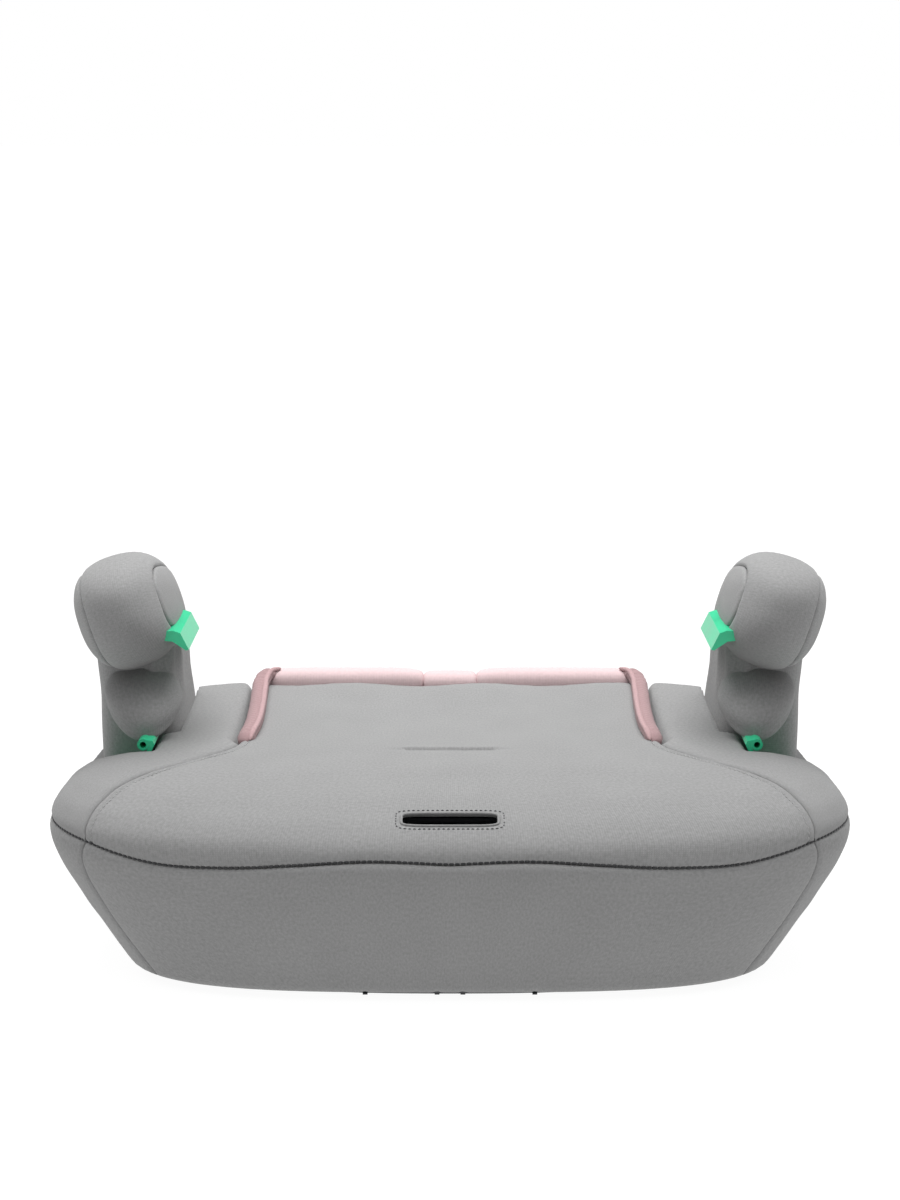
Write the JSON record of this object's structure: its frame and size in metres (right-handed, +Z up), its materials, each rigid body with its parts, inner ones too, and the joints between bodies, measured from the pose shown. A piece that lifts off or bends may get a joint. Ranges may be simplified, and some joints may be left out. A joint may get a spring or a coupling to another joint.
{
  "type": "booster seat",
  "caption": "Backless child's booster seat: padded fabric base, two padded armrests with green belt guides, pink trim, and sliding latches for the car's anchor bars.",
  "frame": {"origin": "middle of the bounding box, on the surface that the seat stands on", "axes": "+X to the seated child's left, -Y to the front of the seat, +Z up"},
  "size_m": [0.4498, 0.3992, 0.2142],
  "materials": {
    "grey_fabric": "matte knit",
    "pink_fabric": "matte knit",
    "foam": "open-cell foam",
    "shell_plastic": "moulded, fine texture",
    "guide_plastic": "moulded, satin",
    "button_plastic": "moulded, satin",
    "bare_steel": "zinc plated",
    "painted_steel": "black coated",
    "rubber": "matte"
  },
  "bodies": {
    "seat": {"armrest_bar_cover_left": "grey_fabric", "armrest_bar_cover_right": "grey_fabric", "armrest_bar_foam_left": "foam", "armrest_bar_foam_right": "foam", "armrest_bolts_left": "bare_steel", "armrest_bolts_right": "bare_steel", "armrest_horn_pad_left": "grey_fabric", "armrest_horn_pad_right": "grey_fabric", "armrest_inner_shell_left": "shell_plastic", "armrest_inner_shell_right": "shell_plastic", "armrest_outer_shell_left": "shell_plastic", "armrest_outer_shell_right": "shell_plastic", "armrest_post_cover_left": "grey_fabric", "armrest_post_cover_right": "grey_fabric", "armrest_shell_screws_left": "bare_steel", "armrest_shell_screws_right": "bare_steel", "base_screws": "bare_steel", "cover_front_skirt": "grey_fabric", "cover_side_skirt_left": "grey_fabric", "cover_side_skirt_right": "grey_fabric", "cover_top_panel": "grey_fabric", "cover_wing_left": "grey_fabric", "cover_wing_right": "grey_fabric", "edge_binding_left": "pink_fabric", "edge_binding_right": "pink_fabric", "hem_clips": "shell_plastic", "latch_arm_guide_left": "shell_plastic", "latch_arm_guide_right": "shell_plastic", "lock_pawl_bracket": "bare_steel", "lock_pawl_pin": "bare_steel", "lower_belt_guide_left": "guide_plastic", "lower_belt_guide_right": "guide_plastic", "lower_tray": "shell_plastic", "rear_bolster_cover": "pink_fabric", "rear_bolster_foam": "foam", "rubber_feet": "rubber", "seat_foam": "foam", "seat_shell": "shell_plastic", "skirt_foam": "foam", "strap_slot_bar": "shell_plastic", "strap_slot_bezel": "shell_plastic", "upper_belt_guide_left": "guide_plastic", "upper_belt_guide_right": "guide_plastic", "wing_foam_left": "foam", "wing_foam_right": "foam"},
    "latch_carriage": {"latch_crossbar": "painted_steel", "latch_rack": "painted_steel", "latch_arm_left": "painted_steel", "latch_arm_right": "painted_steel", "latch_head_left": "shell_plastic", "latch_head_right": "shell_plastic", "latch_jaw_pin_left": "bare_steel", "latch_jaw_pin_right": "bare_steel"},
    "jaw_left": {"latch_jaw_left": "bare_steel"},
    "jaw_right": {"latch_jaw_right": "bare_steel"},
    "button_left": {"latch_release_button_left": "button_plastic"},
    "button_right": {"latch_release_button_right": "button_plastic"},
    "adjuster": {"adjust_grip": "shell_plastic", "adjust_pull_rod": "bare_steel"},
    "pawl": {"lock_pawl": "bare_steel"}
  },
  "joints": [
    {"name": "latch_slide", "type": "slide", "parent": "seat", "child": "latch_carriage", "axis": [0, 1, 0], "range_m": [0, 0.1]},
    {"name": "adjust_pull", "type": "slide", "parent": "seat", "child": "adjuster", "axis": [0, -1, 0], "range_m": [0, 0.012], "stiffness_N_per_m": 400},
    {"name": "pawl_lift", "type": "hinge", "parent": "seat", "child": "pawl", "pos_m": [0, 0.062, 0.06], "axis": [-1, 0, 0], "range_deg": [0, 12]},
    {"name": "jaw_left_turn", "type": "hinge", "parent": "latch_carriage", "child": "jaw_left", "pos_m": [0.14, 0.162, 0.047], "axis": [1, 0, 0], "range_deg": [0, 30], "stiffness_Nm_per_rad": 0.3},
    {"name": "button_left_press", "type": "slide", "parent": "latch_carriage", "child": "button_left", "axis": [0, -1, 0], "range_m": [0, 0.008]},
    {"name": "jaw_right_turn", "type": "hinge", "parent": "latch_carriage", "child": "jaw_right", "pos_m": [-0.14, 0.162, 0.047], "axis": [1, 0, 0], "range_deg": [0, 30], "stiffness_Nm_per_rad": 0.3},
    {"name": "button_right_press", "type": "slide", "parent": "latch_carriage", "child": "button_right", "axis": [0, -1, 0], "range_m": [0, 0.008]}
  ],
  "couplings": [
    {"joint": "button_left_press", "follows": "jaw_left_turn", "m_per_rad": 0.015278},
    {"joint": "button_right_press", "follows": "jaw_right_turn", "m_per_rad": 0.015278},
    {"joint": "pawl_lift", "follows": "adjust_pull", "rad_per_m": 17.453}
  ]
}
